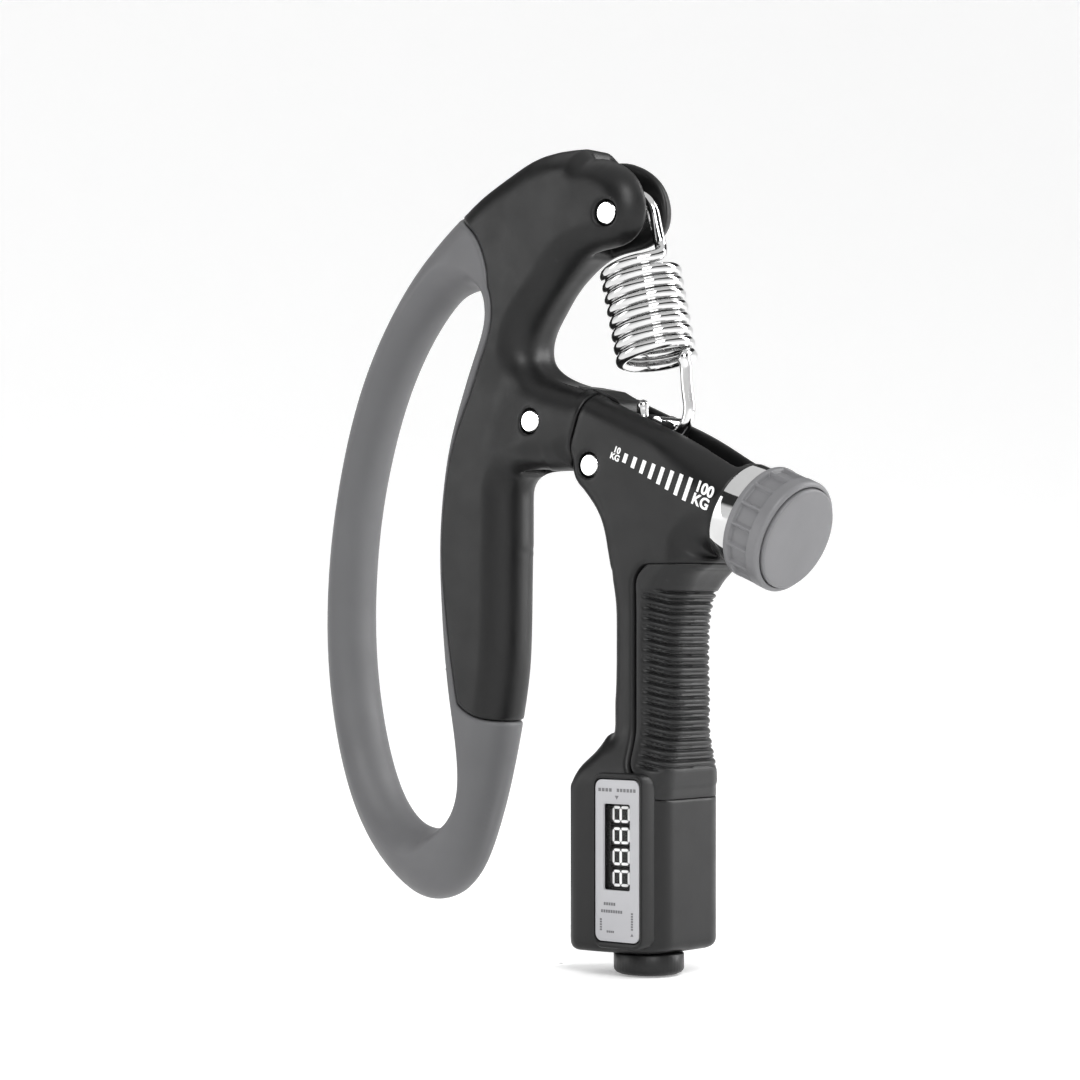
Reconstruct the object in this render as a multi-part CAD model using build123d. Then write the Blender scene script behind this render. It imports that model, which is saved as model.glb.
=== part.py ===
"""Spring hand grip with a squeeze counter, built as separate pieces.

Millimetres. The origin is the middle of the whole object's box. X runs from the palm loop to the
adjusting knob, Y from the counter's window to the back, Z up the handles. Outlines are drawn in
the XZ plane, and half thicknesses are along Y.
"""
import os
from math import cos, sin, radians, atan2, degrees

from build123d import *

# ---- Pins and axes -------------------------------------------------------------------------
PIVOT = (15.1, 18.8)  # the finger handle turns about this pin
LINK_PIN = (-0.9, 28.5)  # holds the hinge link in the palm handle
SPRING_PIN = (18.6, 70.4)  # carries the spring's upper eye
PIN_R = 2.35
KNOB_FACE = (61.0, 2.9)  # middle of the knob's end face
ARM_FALL = 23.0  # degrees that the arm falls towards the knob
HOOK_BAR = (-39.3, 9.5)  # along the arm from the knob's face, and above the arm's axis
HOOK_BAR_R = 1.5

# ---- Palm handle ---------------------------------------------------------------------------
PALM_HALF = 7.5
HEAD_HALF = 9.0
BOSS_HALF = 10.0
FORK_HALF = 2.9  # slot in the head for the spring's eye
LINK_HALF = 4.0  # hinge link
SEAM_TOP = (14.1, 34.1)
SEAM_FOOT = (9.44, 20.7)

OUTER = [
    (10.0, 84.9), (3.0, 84.97), (-4.7, 84.1), (-14.0, 80.6), (-24.5, 75.0), (-32.2, 69.0),
    (-38.9, 62.5), (-45.4, 54.3), (-51.9, 43.7), (-57.3, 31.0), (-61.0, 17.9), (-63.6, 4.6),
    (-65.0, -11.0), (-64.4, -26.4), (-62.5, -37.6), (-59.4, -48.5), (-55.5, -57.2),
    (-50.6, -64.4), (-44.4, -70.2), (-36.5, -73.8), (-29.5, -72.6), (-24.0, -67.6),
    (-20.3, -60.6), (-17.8, -54.0), (-15.8, -47.5), (-13.4, -38.0), (-11.2, -27.0),
    (-10.2, -13.0), (-9.9, 2.0), (-9.8, 13.0),
]
BOSS_LOW = [(-9.8, 13.0), (-8.6, 16.6), (-4.6, 18.3), (1.5, 18.3), (8.5, 18.0)]
NECK = [
    (13.7, 34.0), (8.0, 35.4), (2.0, 37.2), (-2.4, 39.6), (-4.8, 42.8), (-4.4, 46.6), (-2.0, 50.6),
    (1.2, 54.6), (5.6, 58.8), (10.5, 62.0), (16.0, 63.3), (21.0, 64.2), (24.6, 67.2), (25.6, 71.2),
    (24.4, 76.0), (21.0, 79.8), (16.4, 82.0), (12.4, 82.6),
]
OPENING = [
    (-22.8, 58.4), (-18.4, 57.0), (-16.5, 52.5), (-17.4, 48.0), (-20.3, 42.1), (-24.4, 33.9),
    (-28.1, 25.5), (-30.7, 14.9), (-31.6, 2.0), (-30.7, -8.7), (-28.1, -25.8), (-26.1, -36.4),
    (-25.0, -44.9), (-25.6, -51.6), (-29.0, -56.6), (-35.0, -58.5), (-41.5, -57.0),
    (-46.8, -52.6), (-50.6, -46.0), (-53.6, -37.0), (-55.8, -25.6), (-56.7, -11.0),
    (-56.3, -1.7), (-54.5, 11.7), (-51.6, 22.7), (-47.5, 33.6), (-41.6, 44.2), (-34.8, 52.4),
    (-28.8, 56.9),
]
COVER_EDGE = [
    (-28.0, 79.5), (-24.7, 73.4), (-19.6, 70.2), (-16.6, 65.8), (-14.9, 60.0), (-14.7, 53.5),
    (-15.7, 47.6), (-18.7, 41.3), (-22.8, 33.2), (-26.5, 25.0), (-29.1, 14.7), (-30.0, 2.0),
    (-29.1, -8.9), (-26.6, -25.0), (-24.2, -30.2), (-20.4, -33.0), (-15.0, -34.5), (-4.0, -35.0),
]
CORE_LINE = [
    (-20.0, 74.0), (-30.0, 65.5), (-37.5, 57.8), (-47.0, 43.8), (-52.6, 31.0), (-56.3, 18.0),
    (-59.3, 4.0), (-60.8, -11.0), (-60.1, -26.0), (-58.0, -37.4), (-54.9, -47.8), (-51.2, -55.0),
    (-44.5, -62.5), (-36.5, -66.0), (-28.8, -64.6), (-24.0, -59.0), (-21.0, -50.0), (-18.5, -38.0),
    (-18.0, -28.0),
]
CORE_WIDE = 3.6  # the loop's hard core under its soft cover
CORE_HALF = 4.6

# ---- Finger handle -------------------------------------------------------------------------
ARM_HALF = 10.0
STEM_HALF = 9.5
HOUSE_HALF = 12.5
CHEEK_R = 6.0  # handle's rounded corner about the pivot
SLOT_HALF = 4.3
ARM_ZONE = [(0, 60), (0, -3.0), (37, -3.0), (44, -12), (70, -12), (70, 60)]
SLOT_END = -17.0  # along the arm
ARM_END = -14.7
STEM_LEFT = [
    (12.6, 12.9), (16.3, 7.9), (17.8, 3.4), (18.8, -2.6), (19.3, -9.0), (19.4, -17.0),
    (19.3, -25.4), (18.9, -30.6), (17.6, -35.8), (15.3, -40.1), (12.7, -43.3), (11.3, -46.2),
    (11.05, -49.5),
]
STEM_RIGHT = [
    (34.1, -49.5), (34.9, -40.0), (35.1, -30.0), (34.8, -21.0), (35.0, -14.0), (36.0, -8.4),
    (38.4, -4.6), (41.6, -2.4),
]
HOUSE_LOW = -80.5
GRIP_FROM = 26.6  # the ribbed grip wraps the stem from here to the right
GRIP_TOP = -3.0
GRIP_LOW = -47.0
GRIP_SKIN = 1.6
ROD_AT = (22.6, 0.0)  # X and Y of the rod that works the counter
ROD_R = 1.2
RIB_COUNT = 17
RIB_PITCH = 2.13
RIB_TILT = 16.0

# ---- Adjuster ------------------------------------------------------------------------------
COLLAR_R = 10.5
KNOB_R = 11.75
KNOB_LONG = 10.0
CAP_R = 10.65
SCREW_R = 3.0
KNOB_RIBS = 16
NUT_LONG = 7.2

# ---- Counter -------------------------------------------------------------------------------
COUNT_AXIS = (25.9, -3.2)  # X and Y of the reset knob's shaft
WHEEL_AXIS = (24.6, -4.5)  # X and Y of the number wheels' axle
WHEEL_R = 7.5
WHEEL_LONG = 4.0
WHEEL_PITCH = 4.3
WHEELS_TOP = -50.2
SHAFT_R = 1.5
WINDOW = (22.5, -67.4, 29.3, -50.0)  # left, low, right, top
WHEEL_GAP = (19.9, 29.3)  # X span of the gap in the front wall that the wheels reach into
LABEL = (20.4, -77.8, 31.7, -45.1)
BEZEL = (19.7, -79.2, 32.5, -43.8)
FACE_Y = -14.0
BACK_Y = 14.0
RESET_R = 7.2
RESET_LOW = -85.0

# ---- Spring --------------------------------------------------------------------------------
WIRE_R = 1.25
COIL_R = 7.25
COIL_PITCH = 2.58
COIL_TURNS = 8.4
COIL_FROM = 9.7  # along the spring from the spring pin to the first turn's middle
EYE_R = 6.0
BUSH_R = 3.2

UP = Vector(sin(radians(ARM_FALL)), 0, cos(radians(ARM_FALL)))
ALONG = Vector(cos(radians(ARM_FALL)), 0, -sin(radians(ARM_FALL)))


KNOB_FACE_POINT = (KNOB_FACE[0], 0, KNOB_FACE[1])


def on_arm(along, up):
    """The (X, Z) point at that distance along the arm from the knob's face, and above its axis."""
    return (
        KNOB_FACE[0] + along * ALONG.X + up * UP.X,
        KNOB_FACE[1] + along * ALONG.Z + up * UP.Z,
    )


def flat(points):
    return [Vector(x, 0, z) for x, z in points]


def slab(wires, half, low=None):
    """The face inside these XZ edges, from Y = low to Y = half."""
    low = -half if low is None else low
    face = make_face(wires)
    if face.faces()[0].normal_at().Y < 0:
        face = -face.faces()[0]
    return extrude(Pos(0, low, 0) * face, amount=half - low, dir=(0, 1, 0))


def block(x0, x1, y0, y1, z0, z1):
    return Pos((x0 + x1) / 2, (y0 + y1) / 2, (z0 + z1) / 2) * Box(x1 - x0, y1 - y0, z1 - z0)


def rod_y(at, r, y0, y1):
    """A cylinder along Y at that (X, Z)."""
    return Pos(at[0], (y0 + y1) / 2, at[1]) * Rot(90, 0, 0) * Cylinder(r, abs(y1 - y0))


def rod_z(at, r, z0, z1):
    """A cylinder along Z at that (X, Y)."""
    return Pos(at[0], at[1], (z0 + z1) / 2) * Cylinder(r, abs(z1 - z0))


ARM_PLANE = Plane(
    origin=(KNOB_FACE[0], 0, KNOB_FACE[1]), x_dir=(0, 1, 0), z_dir=tuple(ALONG)
)


def rod_arm(r, a0, a1, up=0.0):
    """A cylinder along the arm's axis, between two distances from the knob's face."""
    return ARM_PLANE.location * Pos(0, 0, (a0 + a1) / 2) * Cylinder(r, abs(a1 - a0))


def arm_block(a0, a1, y_half, up0, up1, y_from=None):
    """A box square to the arm, between two distances along it and two heights above its axis."""
    corners = [on_arm(a0, up0), on_arm(a1, up0), on_arm(a1, up1), on_arm(a0, up1)]
    return slab([Polyline(*flat(corners), close=True)], y_half, y_from)


# ---- Palm handle's pieces ------------------------------------------------------------------
def palm_outline():
    outer = Spline(*flat(OUTER), tangents=[(-1, 0, 0.05), (0, 0, 1)])
    low = Spline(*flat(BOSS_LOW), tangents=[(0, 0, 1), (1, 0, 0)])
    seam = Line(flat(BOSS_LOW)[-1], flat(NECK)[0])
    neck = Spline(*flat(NECK), tangents=[(-1, 0, 0.25), (-1, 0, 0.05)])
    step = Line(flat(NECK)[-1], flat(OUTER)[0])
    return [outer, low, seam, neck, step]


def region(points):
    return [Polyline(*flat(points), close=True)]


opening = slab([Spline(*flat(OPENING), periodic=True)], 30)
palm_plate = slab(palm_outline(), PALM_HALF) - opening
opening_rims = [e for e in palm_plate.edges() if e.is_closed]
palm_plate = fillet(opening_rims, 2.4)

head_zone = slab(
    region([(-8, 95), (-8, 78), (-4, 66), (2.5, 60), (9, 56), (40, 56), (40, 95)]), 30
)
head = slab(palm_outline(), HEAD_HALF) & head_zone
boss_zone = slab(
    region([(-12, 30), (-9, 22), (-4, 14), (40, 14), (40, 50), (-2, 50), (-9, 40)]), 30
)
boss = slab(palm_outline(), BOSS_HALF) & boss_zone

cover_zone = slab(
    [
        Spline(*flat(COVER_EDGE)),
        Polyline(*flat([COVER_EDGE[-1], (-4, -90), (-90, -90), (-90, 90), (-28, 90), COVER_EDGE[0]])),
    ],
    30,
)
core_line = Spline(*[(x, z) for x, z in CORE_LINE])
loop_core = Rot(90, 0, 0) * extrude(trace(core_line, CORE_WIDE), CORE_HALF, both=True)

link_slot = slab(region([(-7.5, 12), (30, 12), (30, 50), (-7.5, 50)]), LINK_HALF)
fork_slot = slab(region([(11.0, 50), (40, 50), (40, 95), (11.0, 95)]), FORK_HALF)

palm_black = (palm_plate - cover_zone) + head + boss + loop_core
palm_core = palm_black - link_slot - fork_slot
for pin in (LINK_PIN, SPRING_PIN):
    palm_core -= rod_y(pin, PIN_R, -20, 20)
loop_cover = (palm_plate & cover_zone) - palm_black

# The hinge link: a tongue held by the link pin, with the pivot pin's bore at its end.
link_plate = slab(
    [
        Polyline(*flat([(9.6, 19.2), (-7.4, 19.6), (-7.4, 36.6), (2.0, 37.0), (14.0, 34.6), (17.4, 32.8)])),
        ThreePointArc(*flat([(17.4, 32.8), (18.8, 31.7), (19.2, 29.8)])),
        Line(*flat([(19.2, 29.8), (20.2, 18.8)])),
        ThreePointArc(*flat([(20.2, 18.8), (15.1, 13.7), (9.6, 19.2)])),
    ],
    LINK_HALF,
)
palm_boss_room = slab(palm_outline(), 30) - slab(region([(-9, 0), (-7.5, 0), (-7.5, 60), (-9, 60)]), 30)
link_in_boss = link_plate & (palm_boss_room + slab(region([(8, 10), (40, 10), (40, 50), (8, 50)]), 30))
hinge_link = link_in_boss - rod_y(PIVOT, PIN_R + 0.05, -20, 20) - rod_y(LINK_PIN, PIN_R, -20, 20)

spring_pin = rod_y(SPRING_PIN, PIN_R, -HEAD_HALF + 0.6, HEAD_HALF - 0.6)
link_pin = rod_y(LINK_PIN, PIN_R, -BOSS_HALF + 0.6, BOSS_HALF - 0.6)
pivot_pin = rod_y(PIVOT, PIN_R, -ARM_HALF + 0.6, ARM_HALF - 0.6)
pins = {"spring_pin": spring_pin, "link_pin": link_pin, "pivot_pin": pivot_pin}
for name, solid in pins.items():
    pins[name] = chamfer(solid.edges().filter_by(GeomType.CIRCLE), 0.3)
spring_bush = rod_y(SPRING_PIN, BUSH_R, -FORK_HALF + 0.1, FORK_HALF - 0.1) - rod_y(
    SPRING_PIN, PIN_R, -20, 20
)

# ---- Finger handle's pieces ------------------------------------------------------------------
cheek_from = Vector(SEAM_FOOT[0], 0, SEAM_FOOT[1])
cheek_mid = Vector(PIVOT[0] - CHEEK_R * 0.94, 0, PIVOT[1] - CHEEK_R * 0.34)
cheek_to = Vector(PIVOT[0] - CHEEK_R * 0.62, 0, PIVOT[1] - CHEEK_R * 0.785)
arm_top_end = Vector(on_arm(ARM_END, 10)[0], 0, on_arm(ARM_END, 10)[1])
arm_low_end = Vector(on_arm(ARM_END, -10)[0], 0, on_arm(ARM_END, -10)[1])
seam_top = Vector(SEAM_TOP[0] + 0.4, 0, SEAM_TOP[1] - 0.3)


def finger_outline(shrink=0.0):
    """The finger handle from the side. shrink pulls its right side in, for the grip's bed."""
    right = [(x - shrink, z) for x, z in STEM_RIGHT]
    left = [cheek_to] + flat(STEM_LEFT)
    return [
        ThreePointArc(cheek_from, cheek_mid, cheek_to),
        Spline(*left, tangents=[(0.8, 0, -0.6), (0, 0, -1)]),
        Polyline(*flat([STEM_LEFT[-1], (11.05, -78.5), (13.0, HOUSE_LOW), (32.1, HOUSE_LOW),
                        (34.1, -78.5), right[0]])),
        Spline(*flat(right)),
        Line(flat(right)[-1], arm_low_end),
        Line(arm_low_end, arm_top_end),
        Line(arm_top_end, seam_top),
        Line(seam_top, cheek_from),
    ]


def column(x0, x1, half, radius, z0, z1):
    """An upright block with rounded upright edges."""
    return fillet(block(x0, x1, -half, half, z0, z1).edges().filter_by(Axis.Z), radius)


def finger_body(shrink=0.0):
    """The finger handle without its hollows. shrink pulls the grip's bed in from the surface."""
    side = slab(finger_outline(shrink), 30)
    arm_bar = arm_block(-60, ARM_END + 1, ARM_HALF - shrink, -60, 10)
    arm_rims = [e for e in arm_bar.edges().filter_by(Axis(KNOB_FACE_POINT, ALONG)) if e.center().Z > 0]
    arm_bar = fillet(arm_rims, 3.0) & slab(region(ARM_ZONE), 30)
    stem_bar = column(19.0, 35.4 - shrink, STEM_HALF - shrink, 5.0, -38, 4)
    flare_bar = column(9.0, 35.4 - shrink, STEM_HALF + 1.0 - shrink, 4.5, -46.5, -36)
    house_bar = column(11.05, 34.1, HOUSE_HALF, 5.5, HOUSE_LOW, -46.5)
    return side & (arm_bar + stem_bar + flare_bar + house_bar)


finger_solid = finger_body()

grip_zone = block(GRIP_FROM, 36.2, -30, 30, GRIP_LOW, GRIP_TOP)
grip_room = finger_solid & grip_zone
grip_bed = finger_body(GRIP_SKIN)
grip_sleeve = grip_room - grip_bed
rib_bed = finger_body(0.6)
rib_cut = None
for i in range(RIB_COUNT):
    z = -5.5 - RIB_PITCH * i
    cut = Pos(38, 0, z) * Rot(0, RIB_TILT, 0) * Box(18, 40, 0.9)
    rib_cut = cut if rib_cut is None else rib_cut + cut
grip_sleeve = grip_sleeve - (rib_cut - rib_bed)

tongue_slot = rod_y(PIVOT, 6.7, -SLOT_HALF, SLOT_HALF) + slab(
    region([(0, 12.1), (15.1, 12.1), (21.8, 18.8), (24, 50), (0, 50)]), SLOT_HALF
)
nut_slot = arm_block(-47.5, SLOT_END, SLOT_HALF, -4.7, 20)
cavity = block(12.9, 32.5, -10.6, 10.5, -78.2, -46.6)
rear_mouth = block(15.1, 29.1, 10.5, 30, -79.0, -45.9)
window_hole = block(WINDOW[0], WINDOW[2], -30, 0, WINDOW[1], WINDOW[3])
wheel_gap = block(WHEEL_GAP[0], WHEEL_GAP[1], -30, 0, WINDOW[1], WINDOW[3])
rod_bore = rod_z(ROD_AT, ROD_R + 0.15, -47, 14)
finger_frame = finger_solid - grip_room + (grip_bed & grip_zone)
for hollow in (tongue_slot, nut_slot, cavity, rear_mouth, wheel_gap, rod_bore):
    finger_frame -= hollow
finger_frame -= rod_y(PIVOT, PIN_R, -20, 20)
finger_frame -= rod_arm(SCREW_R + 0.05, -50, -14)
finger_frame -= rod_z(COUNT_AXIS, SHAFT_R + 0.1, -90, -70)

back_plate = block(15.2, 29.0, 10.55, BACK_Y, -78.9, -46.0)
back_cover = fillet(back_plate.edges().filter_by(Axis.Y), 2.0)
screw_spots = [(22.1, -48.6), (18.0, -76.0), (26.2, -76.0)]
cover_screws = []
for spot in screw_spots:
    back_cover -= rod_y(spot, 1.1, 0, 20) + rod_y(spot, 2.2, BACK_Y - 1.3, 20)
    screw = rod_y(spot, 1.1, 7.5, BACK_Y - 1.3) + rod_y(spot, 2.2, BACK_Y - 1.3, BACK_Y - 0.3)
    cross = block(-1.2, 1.2, -0.4, 0.4, -0.3, 0.3) + block(-0.3, 0.3, -0.4, 0.4, -1.2, 1.2)
    cover_screws.append(screw - Pos(spot[0], BACK_Y - 0.5, spot[1]) * cross)
for spot in screw_spots:
    finger_frame += rod_y(spot, 2.4, 6.5, 10.5) - rod_y(spot, 1.1, 0, 20)

# ---- Counter's pieces ------------------------------------------------------------------------
bezel = fillet(
    block(BEZEL[0], BEZEL[2], FACE_Y, -HOUSE_HALF, BEZEL[1], BEZEL[3]).edges().filter_by(Axis.Y), 2.2
)
label_room = block(LABEL[0] - 0.1, LABEL[2] + 0.1, FACE_Y, FACE_Y + 0.7, LABEL[1] - 0.1, LABEL[3] + 0.1)
label_room = fillet(label_room.edges().filter_by(Axis.Y), 1.7)
counter_bezel = bezel - label_room - window_hole
label = fillet(
    block(LABEL[0], LABEL[2], FACE_Y + 0.1, FACE_Y + 0.7, LABEL[1], LABEL[3]).edges().filter_by(Axis.Y),
    1.6,
)
label_plate = label - window_hole
window_lens = block(WINDOW[0], WINDOW[2], -12.9, -12.1, WINDOW[1], WINDOW[3])

wheels = {}
wheel_names = ("thousands_wheel", "hundreds_wheel", "tens_wheel", "units_wheel")
for i, name in enumerate(wheel_names):
    top = WHEELS_TOP - WHEEL_PITCH * i
    wheel = rod_z(WHEEL_AXIS, WHEEL_R, top - WHEEL_LONG, top)
    wheel = chamfer(wheel.edges().filter_by(GeomType.CIRCLE), 0.25)
    wheels[name] = wheel - rod_z(WHEEL_AXIS, SHAFT_R + 0.05, -90, 0)
wheels_low = WHEELS_TOP - WHEEL_PITCH * 4

frame_parts = block(16.5, 31.5, 4.2, 5.4, wheels_low - 1.3, WHEELS_TOP + 1.7)
for z in (WHEELS_TOP + 0.4, wheels_low - 1.3):
    frame_parts += block(16.5, 31.5, -10.4, 4.2, z, z + 1.3)
counter_frame = frame_parts + rod_z(WHEEL_AXIS, SHAFT_R, wheels_low - 0.5, WHEELS_TOP + 1.0)

reset_shaft = rod_z(COUNT_AXIS, SHAFT_R, -84.0, wheels_low - 1.6)
reset_body = rod_z(COUNT_AXIS, RESET_R, RESET_LOW, HOUSE_LOW - 0.15)
reset_body = chamfer(reset_body.edges().group_by(Axis.Z)[0], 0.7)
reset_knob = reset_body - rod_z(COUNT_AXIS, SHAFT_R, -84.0, -70)
slot_cut = block(COUNT_AXIS[0] - 5.0, COUNT_AXIS[0] + 5.0, COUNT_AXIS[1] - 0.6, COUNT_AXIS[1] + 0.6,
                 RESET_LOW, RESET_LOW + 0.6)
reset_knob -= slot_cut

count_rod = rod_z(ROD_AT, ROD_R, -47.9, 11.4)
count_rod = fillet(count_rod.edges().filter_by(GeomType.CIRCLE), 0.6)

# ---- Adjuster's pieces -----------------------------------------------------------------------
arm_collar = rod_arm(COLLAR_R, ARM_END + 0.02, -KNOB_LONG - 0.1) - rod_arm(SCREW_R + 0.05, -30, 0)
arm_collar = fillet(arm_collar.edges().filter_by(GeomType.CIRCLE).sort_by(SortBy.RADIUS)[-2:], 0.35)
lead_screw = rod_arm(SCREW_R, -42.3, -3.0)
knob_body = rod_arm(KNOB_R, -KNOB_LONG, -1.0)
knob_body = fillet(knob_body.edges().filter_by(GeomType.CIRCLE), 0.8)
for i in range(KNOB_RIBS):
    panel = ARM_PLANE.location * Rot(0, 0, 360 / KNOB_RIBS * i) * Pos(KNOB_R, 0, -KNOB_LONG + 3.7)
    knob_body -= panel * Box(1.2, 3.1, 4.6)
adjust_knob = knob_body - rod_arm(SCREW_R, -30, -3.0)
cap = rod_arm(CAP_R, -1.0, 0)
knob_cap = fillet(cap.edges().filter_by(GeomType.CIRCLE), 0.4)

bar_at = on_arm(*HOOK_BAR)
nut_at = HOOK_BAR[0]
nut = arm_block(nut_at - 2.6, nut_at + NUT_LONG - 2.6, SLOT_HALF - 0.15, -4.4, 4.4)
for side in (-1, 1):
    ear = arm_block(nut_at - 2.6, nut_at + 2.6, SLOT_HALF - 0.15, 4.4, 10.6, 1.7)
    nut += ear if side > 0 else mirror(ear, Plane.XZ)
slider_nut = nut - rod_arm(SCREW_R + 0.08, -60, 0) - rod_y(bar_at, HOOK_BAR_R, -20, 20)
hook_bar = rod_y(bar_at, HOOK_BAR_R, -SLOT_HALF + 0.2, SLOT_HALF - 0.2)

scale_marks = []
for i in range(8):
    at = -39.6 + 2.45 * i
    tall = 1.9 + 0.42 * i
    scale_marks.append(arm_block(at - 0.45, at + 0.45, -ARM_HALF, 1.6 - tall / 2, 1.6 + tall / 2,
                                 -ARM_HALF - 0.15))

# ---- Spring's pieces -------------------------------------------------------------------------
spring_run = Vector(bar_at[0] - SPRING_PIN[0], 0, bar_at[1] - SPRING_PIN[1])
spring_long = spring_run.length
down = spring_run.normalized()
across = Vector(-down.Z, 0, down.X)
SPRING_PLANE = Plane(
    origin=(SPRING_PIN[0], 0, SPRING_PIN[1]), x_dir=tuple(across), z_dir=tuple(down)
)
print("spring", round(spring_long, 2), "falls", round(degrees(atan2(down.X, -down.Z)), 2))


def in_spring(x, y, z):
    """A point given across, sideways and along the spring."""
    return SPRING_PLANE.from_local_coords((x, y, z))


def coil(turn_from, turn_to):
    """Closed turns of the spring between two counts of turns from its top."""
    path = Helix(COIL_PITCH, COIL_PITCH * (turn_to - turn_from), COIL_R)
    start = Plane(origin=path @ 0, z_dir=path % 0)
    wire = sweep(start * Circle(WIRE_R), path=path)
    spin = 360 * (turn_from - COIL_TURNS)
    return SPRING_PLANE.location * Pos(0, 0, COIL_FROM + COIL_PITCH * turn_from) * Rot(0, 0, spin) * wire


def wire_along(edges):
    """Spring wire along these edges, with a ball where two of them meet."""
    wire = None
    for edge in edges:
        start = Plane(origin=edge @ 0, z_dir=edge % 0)
        run = sweep(start * Circle(WIRE_R), path=edge)
        wire = run if wire is None else wire + Pos(*(edge @ 0)) * Sphere(WIRE_R) + run
    return wire


half_turns = COIL_TURNS / 2
eye_mid = EYE_R - WIRE_R - BUSH_R
eye_arc = ThreePointArc(
    in_spring(-EYE_R * 0.5, 0, eye_mid + EYE_R * 0.866),
    in_spring(-EYE_R * 0.5, 0, eye_mid - EYE_R * 0.866),
    in_spring(EYE_R, 0, eye_mid),
)
eye_leg = Line(in_spring(EYE_R, 0, eye_mid), in_spring(EYE_R, 0, COIL_FROM + 0.6))
spring_eye = wire_along([eye_arc, eye_leg])
coil_foot = COIL_FROM + COIL_PITCH * COIL_TURNS
hook_mid = spring_long - (EYE_R - WIRE_R - HOOK_BAR_R)
hook_leg = Line(in_spring(COIL_R, 0, coil_foot + WIRE_R * 2), in_spring(EYE_R, 0, hook_mid))
hook_arc = ThreePointArc(
    in_spring(EYE_R, 0, hook_mid),
    in_spring(0, 0, hook_mid + EYE_R),
    in_spring(-EYE_R * 0.94, 0, hook_mid - EYE_R * 0.34),
)
spring_hook = wire_along([hook_leg, hook_arc])
spring_coil = coil(0, half_turns) + spring_eye
spring_coil_low = coil(half_turns, COIL_TURNS)

nodes = {
    "palm_core": palm_core,
    "loop_cover": loop_cover,
    "hinge_link": hinge_link,
    "spring_bush": spring_bush,
    "finger_frame": finger_frame,
    "grip_sleeve": grip_sleeve,
    "back_cover": back_cover,
    "cover_screws": Compound(children=cover_screws),
    "counter_bezel": counter_bezel,
    "label_plate": label_plate,
    "window_lens": window_lens,
    "counter_frame": counter_frame,
    "reset_shaft": reset_shaft,
    "reset_knob": reset_knob,
    "count_rod": count_rod,
    "arm_collar": arm_collar,
    "lead_screw": lead_screw,
    "adjust_knob": adjust_knob,
    "knob_cap": knob_cap,
    "slider_nut": slider_nut,
    "hook_bar": hook_bar,
    "scale_marks": Compound(children=scale_marks),
    "spring_coil": spring_coil,
    "spring_coil_low": spring_coil_low,
    "spring_hook": spring_hook,
}
nodes.update(pins)
nodes.update(wheels)

os.makedirs("parts", exist_ok=True)
for name, solid in nodes.items():
    export_step(solid, f"parts/{name}.step")
    size = solid.bounding_box()
    print(name, len(solid.solids()), round(solid.volume, 1), solid.is_valid,
          [round(v, 2) for v in (*size.min, *size.max)])
whole = Compound(children=[s for solid in nodes.values() for s in solid.solids()]).bounding_box()
print("whole", [round(v, 2) for v in (*whole.min, *whole.max)])
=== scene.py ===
from math import cos, pi, radians, sin

import bmesh
import bpy
import numpy as np
from mathutils import Matrix, Vector


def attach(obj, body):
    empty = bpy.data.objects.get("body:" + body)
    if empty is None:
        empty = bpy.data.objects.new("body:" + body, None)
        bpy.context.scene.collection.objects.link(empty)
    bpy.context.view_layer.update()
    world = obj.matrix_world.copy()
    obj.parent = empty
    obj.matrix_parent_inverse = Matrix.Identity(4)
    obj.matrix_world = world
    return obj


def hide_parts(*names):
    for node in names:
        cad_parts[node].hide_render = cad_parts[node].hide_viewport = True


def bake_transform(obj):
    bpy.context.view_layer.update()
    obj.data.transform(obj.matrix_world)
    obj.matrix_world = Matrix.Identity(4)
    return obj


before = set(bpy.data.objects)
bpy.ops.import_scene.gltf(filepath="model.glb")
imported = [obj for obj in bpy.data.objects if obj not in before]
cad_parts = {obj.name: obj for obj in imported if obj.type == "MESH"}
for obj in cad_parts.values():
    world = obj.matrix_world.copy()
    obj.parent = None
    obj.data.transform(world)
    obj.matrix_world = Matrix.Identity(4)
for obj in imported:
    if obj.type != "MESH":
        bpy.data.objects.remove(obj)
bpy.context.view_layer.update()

MM = 0.001
STEP = 0.42  # spacing of the level set samples
FINE_STEP = 0.26

# ---- Places and sizes ----
PIVOT = (15.1, 18.8)
LINK_PIN = (-0.9, 28.5)
SPRING_PIN = (18.6, 70.4)
PIN_R = 2.35
SEAM_FOOT = np.array([9.44, 20.7])
SEAM_TOP = np.array([14.1, 34.1])
KNOB_FACE = np.array([61.0, 2.9])
ARM_FALL = radians(23.0)
ALONG = np.array([cos(ARM_FALL), -sin(ARM_FALL)])
ARM_UP = np.array([sin(ARM_FALL), cos(ARM_FALL)])
ARM_END = -14.7
HOOK_BAR = (-39.3, 9.5)  # along the arm from the knob's face, and above the arm's axis
STEM_RIGHT = [(34.1, -49.5), (34.9, -40.0), (35.1, -30.0), (34.8, -21.0), (35.0, -14.0),
              (36.0, -8.4), (38.4, -4.6), (41.6, -2.4)]
WHEEL_AXIS = (24.6, -4.5)
WHEEL_GAP = (19.9, 29.3)
RESET_AXIS = (25.9, -3.2)
WHEEL_R = 7.5
WHEEL_PITCH = 4.3
WHEELS_TOP = -50.2
WINDOW = (22.5, -67.4, 29.3, -50.0)
HOUSE_LOW = -80.5
HOUSE_HOLLOW = ((12.9, 32.5), (-10.6, 10.5), (-78.2, -46.6))  # spans along X, Y and Z
REAR_MOUTH = ((15.1, 29.1), (10.5, 30), (-79.0, -45.9))
GREY_STRIP = 3.5  # how far the grey rubber reaches from the loop's opening


def smooth(low, high, value):
    """0 at low and 1 at high, with no kink at either end. low may be the larger one."""
    t = np.clip((value - low) / (high - low), 0, 1)
    return t * t * (3 - 2 * t)


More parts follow.
